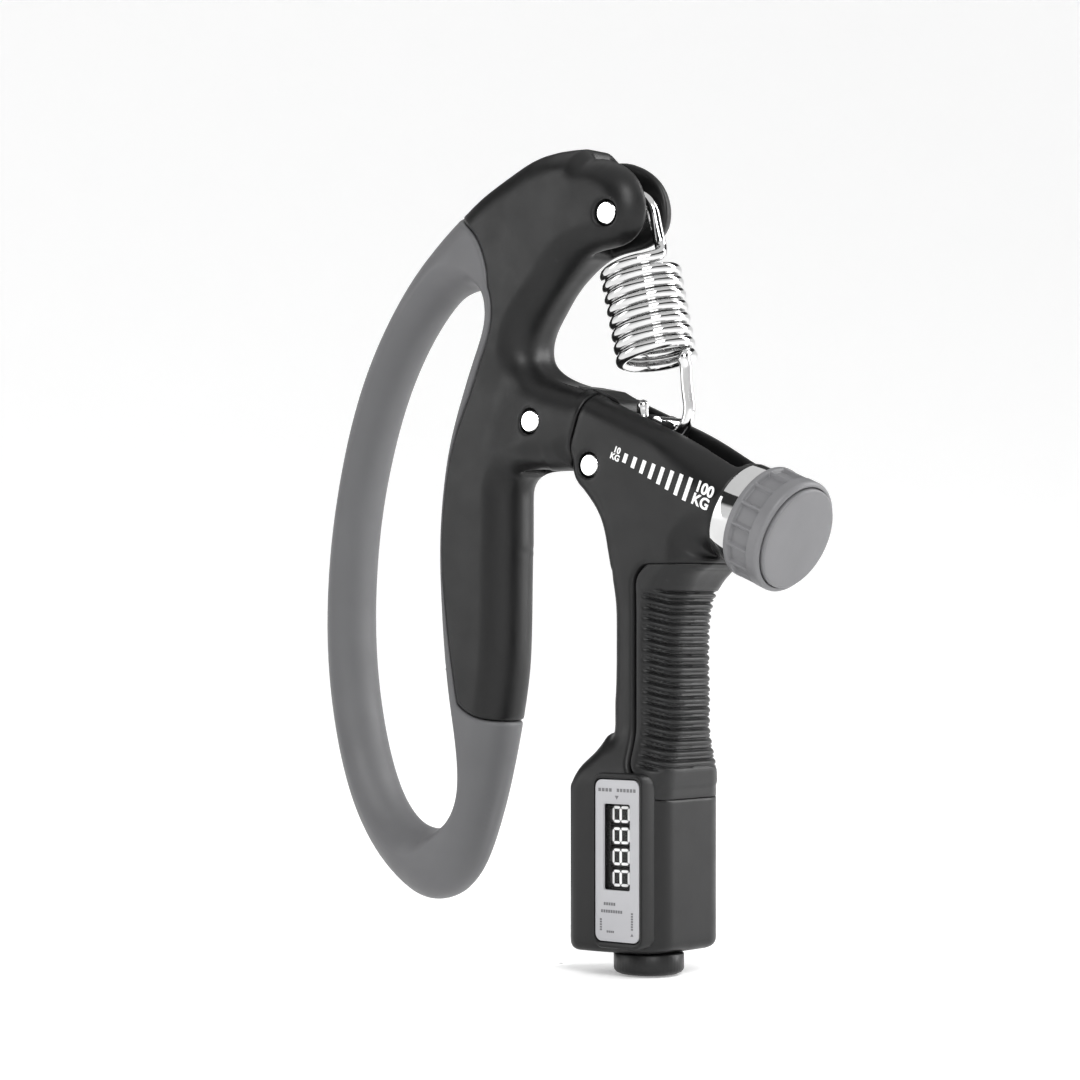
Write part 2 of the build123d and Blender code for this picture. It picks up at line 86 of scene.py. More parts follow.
def mix(a, b, share):
    return a + (b - a) * share


def arm_coords(x, z):
    """Distance along the arm from the knob's face, and height above the arm's axis."""
    dx, dz = x - KNOB_FACE[0], z - KNOB_FACE[1]
    return dx * ALONG[0] + dz * ALONG[1], dx * ARM_UP[0] + dz * ARM_UP[1]


def arm_point(along, up):
    """The XZ point that far along the arm and that high above its axis."""
    return KNOB_FACE + along * ALONG + up * ARM_UP


# ---- Outlines cut from the CAD nodes ----
SECTION_Y = 5.03  # clear of the slots, inside every rounded rim


def outlines(node, y=SECTION_Y):
    """Closed XZ outlines of a CAD node where it crosses that Y, the largest first."""
    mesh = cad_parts[node].data
    points = np.array([v.co for v in mesh.vertices]) / MM
    mesh.calc_loop_triangles()
    corners = points[np.array([t.vertices for t in mesh.loop_triangles])]
    side = corners[:, :, 1] - y
    ends = []
    for a, b in ((0, 1), (1, 2), (2, 0)):
        share = side[:, a] / np.where(side[:, a] == side[:, b], 1, side[:, a] - side[:, b])
        point = corners[:, a] + (corners[:, b] - corners[:, a]) * share[:, None]
        ends.append(np.where((side[:, a] * side[:, b] < 0)[:, None], point[:, [0, 2]], np.nan))
    ends = np.stack(ends, 1)
    crossed = np.isfinite(ends[:, :, 0])
    segments = ends[crossed.sum(1) == 2][crossed[crossed.sum(1) == 2]].reshape(-1, 2, 2)
    return sorted(chained(segments), key=lambda loop: -abs(area(loop)))


def chained(segments, grain=0.004):
    """Joins segments that share ends into closed loops."""
    def key(point):
        return tuple(np.round(point / grain).astype(int))

    touching = {}
    for i, segment in enumerate(segments):
        for end in (0, 1):
            touching.setdefault(key(segment[end]), []).append((i, end))
    used, loops = set(), []
    for first in range(len(segments)):
        if first in used:
            continue
        loop, at, end = [], first, 1
        while at is not None and at not in used:
            used.add(at)
            loop.append(segments[at][end])
            nxt = near_key(touching, key(segments[at][end]), used)
            at, end = (nxt[0], 1 - nxt[1]) if nxt else (None, 0)
        if len(loop) > 8:
            loops.append(np.array(loop))
    return loops


def near_key(touching, key, used):
    """A segment end on that grid point or beside it which isn't used yet."""
    for dx in (0, -1, 1):
        for dz in (0, -1, 1):
            for i, end in touching.get((key[0] + dx, key[1] + dz), []):
                if i not in used:
                    return i, end
    return None


def area(loop):
    nxt = np.roll(loop, -1, 0)
    return 0.5 * float(np.sum(loop[:, 0] * nxt[:, 1] - nxt[:, 0] * loop[:, 1]))


def holds(loop, x, z):
    """True where a point is inside a closed loop."""
    inside = np.zeros(np.shape(x), bool)
    for (ax, az), (bx, bz) in zip(loop, np.roll(loop, -1, 0)):
        if az == bz:
            continue
        crosses = (az > z) != (bz > z)
        inside ^= crosses & (x < (bx - ax) * (z - az) / (bz - az) + ax)
    return inside


def edges_of(loop):
    return np.stack([loop, np.roll(loop, -1, 0)], 1)


def reach(segments, x, z):
    """Distance from each point to the nearest segment."""
    best = np.full(np.shape(x), 1e9, np.float32)
    for (ax, az), (bx, bz) in segments:
        dx, dz = bx - ax, bz - az
        share = np.clip(((x - ax) * dx + (z - az) * dz) / max(dx * dx + dz * dz, 1e-9), 0, 1)
        np.minimum(best, (x - ax - share * dx) ** 2 + (z - az - share * dz) ** 2, out=best)
    return np.sqrt(best)


def thinned(loop, gap=0.5):
    """Drops points of a loop that lie closer together than the gap on a gentle bend."""
    kept = [loop[0]]
    for before, point, after in zip(loop[:-2], loop[1:-1], loop[2:]):
        bend = abs(np.cross(point - kept[-1], after - point))
        bend = bend / max(np.linalg.norm(after - point) * np.linalg.norm(point - kept[-1]), 1e-9)
        if np.linalg.norm(point - kept[-1]) > gap or bend > 0.12:
            kept.append(point)
    return np.array(kept)


def eased(points, rounds=3):
    """Cuts the corners of an open run of points until it reads as a curve."""
    points = np.array(points)
    for _ in range(rounds):
        a, b = points[:-1], points[1:]
        between_ends = np.stack([a * 0.75 + b * 0.25, a * 0.25 + b * 0.75], 1).reshape(-1, 2)
        points = np.vstack([points[:1], between_ends, points[-1:]])
    return points


core_loop = thinned(outlines("palm_core")[0])
cover_loop, opening_loop = [thinned(loop) for loop in outlines("loop_cover")[:2]]
finger_loop = thinned(outlines("finger_frame")[0])
sleeve_loop = np.vstack([[(26.0, 2.0), (26.0, -49.5)], eased(STEM_RIGHT),
                         [(41.6, -1.5), (36.0, 2.0)]])
seam_bridge = np.array([SEAM_FOOT + (-3, 0.5), SEAM_FOOT + (3, -3), SEAM_TOP + (3, -1.4),
                        SEAM_TOP + (-3, 1.2)])
end_bridge = np.array([arm_point(ARM_END + a, u)
                       for a, u in ((-1, -10), (7, -10), (7, 10), (-1, 10))])
foot_bridge = np.array([(11.05, -95), (34.1, -95), (34.1, -77), (11.05, -77)])
solid_loops = [core_loop, cover_loop, finger_loop, sleeve_loop,
               seam_bridge, end_bridge, foot_bridge]


def in_body(x, z):
    """True inside the side outline of both handles, with the loop's opening filled."""
    inside = holds(opening_loop, x, z)
    for loop in solid_loops:
        inside |= holds(loop, x, z)
    return inside


def outside_edges():
    """The outline's edges that have no body on one side."""
    kept = []
    for loop in solid_loops:
        for a, b in edges_of(loop):
            middle = (a + b) / 2
            across = np.array([a[1] - b[1], b[0] - a[0]])
            across = across / max(np.linalg.norm(across), 1e-9) * 0.12
            sides = np.array([middle + across, middle - across])
            if not in_body(sides[:, 0], sides[:, 1]).all():
                kept.append((a, b))
    return np.array(kept)


# ---- Maps over the side view ----
MAP_STEP = 0.45
LOW, HIGH = np.array([-68.0, -88.5]), np.array([60.0, 88.5])
map_x, map_z = np.meshgrid(
    np.arange(LOW[0], HIGH[0], MAP_STEP), np.arange(LOW[1], HIGH[1], MAP_STEP), indexing="ij"
)
body_here = in_body(map_x, map_z)
outer_map = reach(outside_edges(), map_x, map_z) * np.where(body_here, 1, -1)
opening_map = reach(edges_of(opening_loop), map_x, map_z)
opening_map *= np.where(holds(opening_loop, map_x, map_z), -1, 1)
cover_map = reach(edges_of(cover_loop), map_x, map_z) * np.where(
    holds(cover_loop, map_x, map_z) | holds(opening_loop, map_x, map_z), -1, 1)
core_map = reach(edges_of(core_loop), map_x, map_z) * np.where(
    holds(core_loop, map_x, map_z), -1, 1)
grey_map = np.minimum((cover_map - core_map) / 2, opening_map - GREY_STRIP)  # below 0 on the grey loop


def read(plan, x, z):
    """A map's value at any point, between its samples."""
    u = np.clip((x - LOW[0]) / MAP_STEP, 0, plan.shape[0] - 1.001)
    v = np.clip((z - LOW[1]) / MAP_STEP, 0, plan.shape[1] - 1.001)
    i, j = u.astype(int), v.astype(int)
    u, v = u - i, v - j
    return (plan[i, j] * (1 - u) * (1 - v) + plan[i + 1, j] * u * (1 - v)
            + plan[i, j + 1] * (1 - u) * v + plan[i + 1, j + 1] * u * v)


def seam_side(x, z):
    """Distance past the seam between the handles, towards the finger handle."""
    run = (SEAM_TOP - SEAM_FOOT) / np.linalg.norm(SEAM_TOP - SEAM_FOOT)
    return (x - SEAM_FOOT[0]) * run[1] - (z - SEAM_FOOT[1]) * run[0]


def shape_maps(x, z):
    """Half thickness, edge rounding in the side view, the same along Y, and the crest's strength."""
    along, up = arm_coords(x, z)
    outer, inner = read(outer_map, x, z), read(opening_map, x, z)
    loop = smooth(6, -8, x - (-28.5 + 0.082 * z)) * smooth(26, 16, np.abs(x + 42) - 8)
    head = smooth(54, 68, z) * smooth(-12, 6, x)
    boss = smooth(17, 8, np.abs(up)) * smooth(-80, -66, along) * smooth(40, 10, x)
    neck = smooth(34, 44, z) * smooth(62, 52, z) * smooth(-24, -12, x)
    arm_end = smooth(-36, -16, along) * smooth(14, 20, x) * smooth(-15, -9, up)
    finger = smooth(-1.5, 1.5, seam_side(x, z))
    stem = smooth(2, -12, z) * finger
    house = smooth(-34, -46.5, z) * finger

    half = 7.1 + 1.9 * head + 2.7 * boss + 0.9 * neck * (1 - boss)
    half = mix(half, 10.0, finger)
    half = mix(half, 9.5, stem)
    half = mix(half, 12.5, house)
    width = np.clip((outer + inner) / 2, 3.6, 8.6)
    rim = mix(6.9, 6.4, np.maximum(head, boss))
    rim = mix(rim, 4.6, finger)
    rim = mix(rim, 9.6, arm_end * finger)
    rim = mix(rim, 6.0, stem)
    rim = mix(rim, mix(3.4, 5.6, smooth(18, 26, x)), house)
    rim = mix(rim, width, loop)
    bore = mix(2.4, width, loop)
    depth = mix(rim, 7.1, loop)
    return outer, inner, half, rim, bore, depth, loop


def crest(u, strength):
    """Squared reach of a rounded edge: a circle at strength 0, and a soft ridge above it."""
    u = np.maximum(u, 0)
    return (1 - 2 * strength) * u * u + 2 * strength * u


FIELD_SCALE = 4.0


def body_field(x, y, z):
    """Both handles as one rounded body: below 0 inside, near millimetres at the surface."""
    outer, inner, half, rim, bore, depth, loop = shape_maps(x, z)
    grip_side = smooth(24, 28, x) * smooth(-1, -8, z) * smooth(1, -1, y)
    rim, depth = mix(rim, 7.0, grip_side), mix(depth, 7.0, grip_side)
    side = crest(1 - outer / rim, 0.2 * loop) + crest(1 - inner / bore, 0.2 * loop)
    face = np.maximum((np.abs(y) - half + depth) / depth, 0)
    return (np.sqrt(side + face * face) - 1) * FIELD_SCALE


def soft_max(a, b, blend=0.3):
    """The larger of two fields, with the edge where they meet rounded."""
    gap = np.clip(0.5 + 0.5 * (a - b) / blend, 0, 1)
    return mix(b, a, gap) + blend * gap * (1 - gap)


def carve(field, tool, blend=0.3):
    return soft_max(field, -tool, blend)


def box_field(u, v, w, u_span, v_span, w_span, radius=0.0):
    """Distance to a box given by its span along three coordinates."""
    gaps = []
    for value, (low, high) in ((u, u_span), (v, v_span), (w, w_span)):
        gaps.append(np.abs(value - (low + high) / 2) - (high - low) / 2 + radius)
    outside = np.sqrt(sum(np.maximum(g, 0) ** 2 for g in gaps))
    return outside + np.minimum(np.maximum(np.maximum(gaps[0], gaps[1]), gaps[2]), 0) - radius


def rod_field(a, b, at, radius):
    """Distance to an endless rod through that point of the plane (a, b)."""
    return np.sqrt((a - at[0]) ** 2 + (b - at[1]) ** 2) - radius


def line_dent(distance, depth, width):
    """How far a thin groove lifts a field, by distance from its middle line."""
    return depth * np.exp(-((distance / width) ** 2))


def pin_seats(field, x, y, z, pins, half):
    """Round seats, a little wider than the pins, sunk from both faces."""
    for at in pins:
        seat = np.maximum(rod_field(x, z, at, PIN_R + 0.42), half - 1.5 - np.abs(y))
        field = carve(field, seat, 0.45)
        field = carve(field, rod_field(x, z, at, PIN_R + 0.02), 0.1)
    return field


def palm_field(x, y, z):
    """The palm handle's hard moulding, slotted for the spring and the hinge link."""
    field = body_field(x, y, z)
    grey = read(grey_map, x, z)
    field = field + line_dent(grey, 0.35, 0.3)
    field = soft_max(field, 0.06 - grey, 0.25)
    field = soft_max(field, seam_side(x, z) + 0.22, 0.5)
    slot = box_field(x, y, z, (11.3, 60), (-2.9, 2.9), (40, 99), 0.5)
    field = carve(field, slot, 1.0)
    link = box_field(x, y, z, (-7.5, 30), (-4.0, 4.0), (12, 36.2))
    field = carve(field, link, 0.2)
    field = pin_seats(field, x, y, z, [SPRING_PIN], 9.0)
    return pin_seats(field, x, y, z, [LINK_PIN], 9.8)


def cover_field(x, y, z):
    """The soft grey loop, up to its seam with the hard moulding."""
    field = body_field(x, y, z)
    grey = read(grey_map, x, z)
    field = field + line_dent(grey, 0.3, 0.3)
    return soft_max(field, grey + 0.06, 0.25)


def sleeve_area(x, z):
    """Below 0 on the soft grip's side of its edge, in the side view. It ends lower at the side."""
    lower = 3.8 * smooth(29.5, 33, x) * smooth(-38, -45, z)
    return box_field(x, 0 * x, z + lower, (26.9, 60), (-9, 9), (-45.4, -1.6), 4.6)


def groove_part(x, y):
    """1 where the grip's edge shows as a groove, fading out towards the side of the handle."""
    return smooth(3.0, 5.5, np.abs(y)) * smooth(31.5, 28.5, x)


def ribs(x, z):
    """Height lost between the soft grip's ribs: a wide rib and a narrow one in each pitch."""
    phase = (z + 0.30 * np.minimum(x, 34) + 5.5 - 0.30 * 34) / 2.13
    place = phase - np.floor(phase)
    wide = np.exp(-(((place - 0.12) / 0.13) ** 2)) + np.exp(-(((place - 1.12) / 0.13) ** 2))
    thin = 0.6 * np.exp(-(((place - 0.50) / 0.10) ** 2))
    ends = smooth(28.6, 30.6, x) * smooth(-6.4, -7.4, z) * smooth(-43.6, -42.6, z)
    return 0.62 * (wide + thin) * ends


def finger_field(x, y, z):
    """The finger handle's hard moulding: cheeks, slotted arm, stem and counter housing."""
    field = body_field(x, y, z)
    along, up = arm_coords(x, z)
    edge = sleeve_area(x, z)
    front = groove_part(x, y)
    field = field + line_dent(edge, 0.75, 0.4) * front
    skin = np.maximum(edge - 0.01 - 0.04 * front, -field - 1.6)
    field = carve(field, skin, 0.04 + 0.16 * front)
    field = soft_max(field, HOUSE_LOW - z, 2.4)
    field = soft_max(field, 0.22 - seam_side(x, z), 0.5)
    field = carve(field, np.maximum(ARM_END - along, -10.4 - up), 0.3)
    tongue = np.maximum(np.minimum(rod_field(x, z, PIVOT, 6.7),
                                   box_field(x, y, z, (0, 22.5), (-9, 9), (14.5, 50))),
                        np.abs(y) - 4.3)
    field = carve(field, tongue, 0.3)
    slot = box_field(along, y, up, (-60, -16.6), (-4.35, 4.35), (-4.8, 30), 0.3)
    slot = np.maximum(slot, -seam_side(x, z))
    field = carve(field, slot, 0.7)
    screw_bore = np.maximum(rod_field(up, y, (0, 0), 3.05), np.abs(along + 32) - 18)
    field = carve(field, screw_bore, 0.1)
    field = carve(field, box_field(x, y, z, *HOUSE_HOLLOW, 6.2), 0.2)
    field = carve(field, box_field(x, y, z, *REAR_MOUTH, 1.9), 0.3)
    wheel_gap = box_field(x, y, z, WHEEL_GAP, (-30, 0), (WINDOW[1], WINDOW[3]))
    field = carve(field, wheel_gap, 0.2)
    counter_rod_bore = np.maximum(rod_field(x, y, (22.6, 0), 1.45), np.abs(z + 17) - 31)
    field = carve(field, counter_rod_bore, 0.1)
    reset_bore = np.maximum(rod_field(x, y, RESET_AXIS, 1.7), z + 70)
    field = carve(field, reset_bore, 0.1)
    return pin_seats(field, x, y, z, [PIVOT], 9.8)


def sleeve_field(x, y, z):
    """The soft ribbed grip, a skin over the front of the stem."""
    field = body_field(x, y, z)
    edge = sleeve_area(x, z)
    front = groove_part(x, y)
    field = field + line_dent(edge, 0.75, 0.4) * front
    inner = -(field + 1.55)
    field = field + ribs(x, z)
    return soft_max(soft_max(field, edge + 0.01 + 0.04 * front, 0.04 + 0.16 * front), inner, 0.2)


# ---- From a level set to a mesh ----
CORNERS = np.array([(i, j, k) for i in (0, 1) for j in (0, 1) for k in (0, 1)])
CELL_EDGES = [(a, b) for a in range(8) for b in range(a + 1, 8)
              if np.abs(CORNERS[a] - CORNERS[b]).sum() == 1]


def sampled(field, low, high, step):
    """A field's values on a block of points from low to high."""
    axes = [np.arange(a, b + step, step, dtype=np.float32) for a, b in zip(low, high)]
    x, z = np.meshgrid(axes[0], axes[2], indexing="ij")
    values = np.empty([len(a) for a in axes], np.float32)
    for j, y in enumerate(axes[1]):
        values[:, j, :] = field(x, np.full_like(x, y), z)
    for side in (values[:1], values[-1:], values[:, :1], values[:, -1:],
                 values[:, :, :1], values[:, :, -1:]):  # the border is outside, so surfaces close
        np.maximum(side, 0.05, out=side)
    return values


def surface_net(values):
    """Points and quads of the surface where sampled values cross 0, in sample units."""
    inside = values < 0
    count = sum(inside[i:inside.shape[0] - 1 + i, j:inside.shape[1] - 1 + j,
                       k:inside.shape[2] - 1 + k].astype(np.int8) for i, j, k in CORNERS)
    cells = np.argwhere((count > 0) & (count < 8))
    numbers = np.full(count.shape, -1, np.int64)
    numbers[tuple(cells.T)] = np.arange(len(cells))
    total, crossings = np.zeros((len(cells), 3)), np.zeros(len(cells))
    at = [values[tuple((cells + corner).T)] for corner in CORNERS]
    for a, b in CELL_EDGES:
        cut = (at[a] < 0) != (at[b] < 0)
        share = at[a][cut] / (at[a][cut] - at[b][cut])
        total[cut] += CORNERS[a] + share[:, None] * (CORNERS[b] - CORNERS[a])
        crossings[cut] += 1
    points = cells + total / crossings[:, None]
    quads = []
    for axis in range(3):
        first = np.argwhere(np.diff(inside.astype(np.int8), axis=axis) != 0)
        u, v = [np.eye(3, dtype=int)[(axis + n) % 3] for n in (1, 2)]
        around = [numbers[tuple((first - du * u - dv * v).T)]
                  for du, dv in ((1, 1), (0, 1), (0, 0), (1, 0))]
        quad = np.stack(around, 1)
        flip = ~inside[tuple(first.T)]
        quad[flip] = quad[flip][:, ::-1]
        quads.append(quad)
    return points, np.concatenate(quads)


def relaxed(points, quads, values, rounds=3):
    """Evens the points out and puts them back on the surface."""
    slope = np.gradient(values)
    ends = np.concatenate([quads, np.roll(quads, -1, 1)]).reshape(2, -1)
    for turn in range(rounds):
        if turn < rounds - 1:
            size = len(points)
            total = sum(np.stack([np.bincount(a, points[b, k], size) for k in range(3)], 1)
                        for a, b in (ends, ends[::-1]))
            number = sum(np.bincount(a, minlength=size) for a in ends)
            points = points + 0.5 * (total / np.maximum(number, 1)[:, None] - points)
        height = between(values, points)
        rise = np.stack([between(s, points) for s in slope], 1)
        shift = height[:, None] * rise / np.maximum((rise ** 2).sum(1), 1e-4)[:, None]
        points = points - np.clip(shift, -0.5, 0.5)
    return points


def between(values, points):
    """Samples of a block at points between its own."""
    top = np.array(values.shape) - 1.001
    points = np.clip(points, 0, top)
    base = points.astype(int)
    share = points - base
    total = 0
    for corner in CORNERS:
        weight = np.prod(np.where(corner, share, 1 - share), 1)
        total = total + weight * values[tuple((base + corner).T)]
    return total


def new_object(name, points, faces, smooth_shading=True):
    """A mesh object from points in millimetres."""
    mesh = bpy.data.meshes.new(name)
    mesh.from_pydata((np.asarray(points) * MM).tolist(), [], [list(map(int, f)) for f in faces])
    mesh.validate()
    if smooth_shading:
        mesh.shade_smooth()
    made = bpy.data.objects.new(name, mesh)
    bpy.context.scene.collection.objects.link(made)
    return made


def level_set(name, field, low, high, step):
    """A mesh object on the surface where a field crosses 0 within a block."""
    values = sampled(field, low, high, step)
    points, quads = surface_net(values)
    points = relaxed(points, quads, values)
    return new_object(name, np.array(low) + points * step, quads[:, ::-1])


def kept(piece, body, slot, *nodes):
    """Puts a piece on its body, and in place of its CAD nodes."""
    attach(piece, body)
    if nodes:
        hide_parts(*nodes)
    return piece


# ---- Materials ----
class Nodes:
    """A material's node tree, with short calls to add and join nodes."""

    def __init__(self, name):
        self.material = bpy.data.materials.new(name)
        self.material.use_nodes = True
        self.tree = self.material.node_tree
        self.shader = self.tree.nodes["Principled BSDF"]

    def add(self, kind, inputs=(), **settings):
        node = self.tree.nodes.new("ShaderNode" + kind)
        for key, value in settings.items():
            setattr(node, key, value)
        for key, value in dict(inputs).items():
            if isinstance(value, bpy.types.NodeSocket):
                self.tree.links.new(value, node.inputs[key])
            else:
                node.inputs[key].default_value = value
        return node

    def set(self, **values):
        for key, value in values.items():
            socket = self.shader.inputs[key.replace("_", " ")]
            if isinstance(value, bpy.types.NodeSocket):
                self.tree.links.new(value, socket)
            else:
                socket.default_value = value

    def noise(self, scale, detail=3.0, rough=0.55):
        """Noise in the object's own metres, so its grain has a real size."""
        where = self.add("TexCoord").outputs["Object"]
        return self.add("TexNoise", {"Vector": where, "Scale": scale, "Detail": detail,
                                     "Roughness": rough}).outputs["Fac"]

    def ramp(self, value, stops):
        """Colours or greys along a value: stops are (place, colour)."""
        node = self.add("ValToRGB", {"Fac": value})
        band = node.color_ramp
        while len(band.elements) < len(stops):
            band.elements.new(0.5)
        for element, (place, colour) in zip(band.elements, stops):
            element.position = place
            element.color = colour if len(colour) == 4 else (*colour, 1)
        return node.outputs["Color"]

    def blend(self, share, a, b, mode="MIX"):
        node = self.add("Mix", {0: share, 6: a, 7: b}, data_type="RGBA", blend_type=mode)
        return node.outputs[2]

    def bump(self, height, strength, distance):
        node = self.add("Bump", {"Height": height, "Strength": strength, "Distance": distance})
        self.set(Normal=node.outputs["Normal"])

    def edges(self, low, high):
        """1 on worn edges and 0 on flats and hollows."""
        sharp = self.add("NewGeometry").outputs["Pointiness"]
        return self.ramp(sharp, [(low, (0, 0, 0)), (high, (1, 1, 1))])


def grey(value, blue=0.0):
    return (value, value, value * (1 + blue), 1)


def moulded(name, dark, light, rough, grain=2600, depth=0.00002, wear=0.35, spec=0.5, blue=0.04):
    """Moulded plastic or rubber: spark-eroded grain, faint mottling, paler rubbed edges."""
    n = Nodes(name)
    patches = n.noise(55, 4)
    colour = n.ramp(patches, [(0.30, grey(dark, blue)), (0.72, grey(light, blue))])
    rubbed = n.add("Math", {0: n.edges(0.515, 0.60), 1: n.noise(420, 5)}, operation="MULTIPLY")
    share = n.add("Math", {0: rubbed.outputs[0], 1: wear}, operation="MULTIPLY").outputs[0]
    n.set(Base_Color=n.blend(share, colour, grey(light * 2.4 + 0.02)))
    polish = n.noise(130, 5, 0.6)
    gloss = n.add("MapRange", {0: polish, 1: 0.3, 2: 0.7, 3: rough - 0.06, 4: rough + 0.07})
    n.set(Roughness=gloss.outputs[0])
    n.set(Specular_IOR_Level=spec)
    fine = n.noise(grain, 2, 0.5)
    n.bump(fine, 0.35, depth)
    return n


def metal(name, colour, rough, scratch=0.25, smudge=0.10):
    """Plated or polished metal: fine scratches, and finger haze in its gloss."""
    n = Nodes(name)
    where = n.add("TexCoord").outputs["Object"]
    turned = n.add("Mapping", {"Vector": where, "Scale": (60, 60, 2600)}).outputs[0]
    lines = n.add("TexNoise", {"Vector": turned, "Scale": 1.0, "Detail": 4}).outputs["Fac"]
    haze = n.noise(160, 5, 0.65)
    tint = n.ramp(haze, [(0.3, grey(colour * 0.93)), (0.7, grey(colour))])
    n.set(Base_Color=tint, Metallic=1.0)
    gloss = n.add("MapRange", {0: haze, 1: 0.35, 2: 0.75, 3: rough, 4: rough + smudge})
    n.set(Roughness=gloss.outputs[0])
    n.bump(lines, scratch, 0.000004)
    return n


def make_materials():
    made = {
        "black": moulded("black_nylon", 0.0038, 0.0058, 0.40, wear=0.25, spec=0.30),
        "rubber": moulded("ribbed_rubber", 0.0042, 0.0064, 0.44, grain=3400, wear=0.35, spec=0.32),
        "loop": moulded("grey_soft_touch", 0.088, 0.102, 0.52, grain=3800, wear=0.04, spec=0.38),
        "knob": moulded("knob_grey", 0.122, 0.142, 0.45, grain=3200, wear=0.08),
        "wheel": moulded("wheel_black", 0.004, 0.006, 0.5, wear=0.0),
        "plate": metal("zinc_plate", 0.55, 0.32),
        "chrome": metal("chrome", 0.64, 0.035, 0.06, 0.05),
        "pin": metal("polished_pin", 0.96, 0.10, 0.15, 0.08),
        "print": moulded("white_print", 0.80, 0.86, 0.55, wear=0.0, depth=0.000004, blue=0.0),
        "label": moulded("label_film", 0.34, 0.38, 0.38, grain=5200, wear=0.0, depth=0.000005),
        "ink": moulded("label_ink", 0.10, 0.14, 0.5, wear=0.0, depth=0.000004),
    }
    # The figures' material glows: painted light, a white emission on the printed figures of the number
    # wheels, which are no lamp.
    made["figures"] = moulded("figures_painted_glow", 0.80, 0.86, 0.55, wear=0.0, depth=0.000004, blue=0.0)
    made["figures"].set(Emission_Color=(1, 1, 1, 1), Emission_Strength=0.35)
    made["loop"].set(Sheen_Weight=0.06, Sheen_Roughness=0.5)
    made["rubber"].set(Sheen_Weight=0.05, Sheen_Roughness=0.5)
    glass = Nodes("window")
    glass.set(Base_Color=glass.ramp(glass.noise(90, 3), [(0.3, grey(0.02)), (0.7, grey(0.04))]))
    glass.set(Roughness=glass.add("MapRange", {0: glass.noise(300, 4), 3: 0.02, 4: 0.09}).outputs[0])
    glass.set(IOR=1.45, Alpha=0.10)
    made["window"] = glass
    return {key: n.material for key, n in made.items()}


MATERIALS = make_materials()


def dress(piece, material):
    """Gives a piece one material in place of what it has."""
    piece.data.materials.clear()
    piece.data.materials.append(MATERIALS[material])
    return piece


def soften(piece, width, segments=3, angle=32):
    """Rounds a piece's sharp edges without touching its mesh."""
    bevel = piece.modifiers.new("soft_edges", "BEVEL")
    bevel.width, bevel.segments = width * MM, segments
    bevel.limit_method, bevel.angle_limit = "ANGLE", radians(angle)
    bevel.harden_normals = True
    return piece


# ---- Handles ----
def make_handles():
    """The two hard mouldings, the soft loop and the ribbed grip."""
    palm = level_set("palm_shell", palm_field, (-38, -10.9, -48), (29, 10.9, 87.5), STEP)
    kept(dress(palm, "black"), "palm_handle", "black_plastic", "palm_core")
    cover = level_set("soft_loop", cover_field, (-67.2, -8.6, -76), (-7, 8.6, 84), STEP)
    kept(dress(cover, "loop"), "palm_handle", "grey_soft_rubber", "loop_cover")
    finger = level_set("finger_shell", finger_field, (6, -13.6, -82.5), (56, 13.6, 37.5), STEP)
    kept(dress(finger, "black"), "finger_handle", "black_plastic", "finger_frame")
    sleeve = level_set("ribbed_grip", sleeve_field,
                       (25.6, -12.6, -50.6), (43.2, 12.6, 0.2), FINE_STEP)
    kept(dress(sleeve, "rubber"), "finger_handle", "black_rubber", "grip_sleeve")


# ---- Spring ----
WIRE_R = 1.25
COIL_R = 7.25
COIL_PITCH = 2.58
COIL_TURNS = 8.4
COIL_FROM = 9.7
EYE_R = 6.0
EYE_MID = 1.55
hook_at = arm_point(*HOOK_BAR)
spring_run = hook_at - np.array(SPRING_PIN)
SPRING_LONG = float(np.linalg.norm(spring_run))
DOWN = np.array([spring_run[0], 0, spring_run[1]]) / SPRING_LONG
ACROSS = np.array([-DOWN[2], 0, DOWN[0]])
SIDE = np.array([0.0, -1.0, 0.0])
HOOK_MID = SPRING_LONG - (EYE_R - WIRE_R - 1.5)


def in_spring(x, y, z):
    """A point given across the spring, towards its front, and along it."""
    return np.array([SPRING_PIN[0], 0, SPRING_PIN[1]]) + x * ACROSS + y * SIDE + z * DOWN


def coil_point(turn):
    """A point of the coil, by turns from its top."""
    angle = 2 * pi * (turn - COIL_TURNS)
    return (COIL_R * cos(angle), COIL_R * sin(angle), COIL_FROM + COIL_PITCH * turn)


def arc_points(middle, radius, start, end, number):
    """Points of an arc in the spring's plane, by angle from across towards along."""
    turns = [radians(start + (end - start) * i / number) for i in range(number + 1)]
    return [(radius * cos(a), 0, middle + radius * sin(a)) for a in turns]


def curved(points, per_span=8):
    """A smooth line through a few points."""
    p = np.array([points[0], *points, points[-1]], float)
    line = []
    for a, b, c, d in zip(p[:-3], p[1:-2], p[2:-1], p[3:]):
        for i in range(per_span):
            t = i / per_span
            line.append(0.5 * (2 * b + (c - a) * t + (2 * a - 5 * b + 4 * c - d) * t * t
                               + (3 * b - a - 3 * c + d) * t ** 3))
    return [*line, p[-2]]


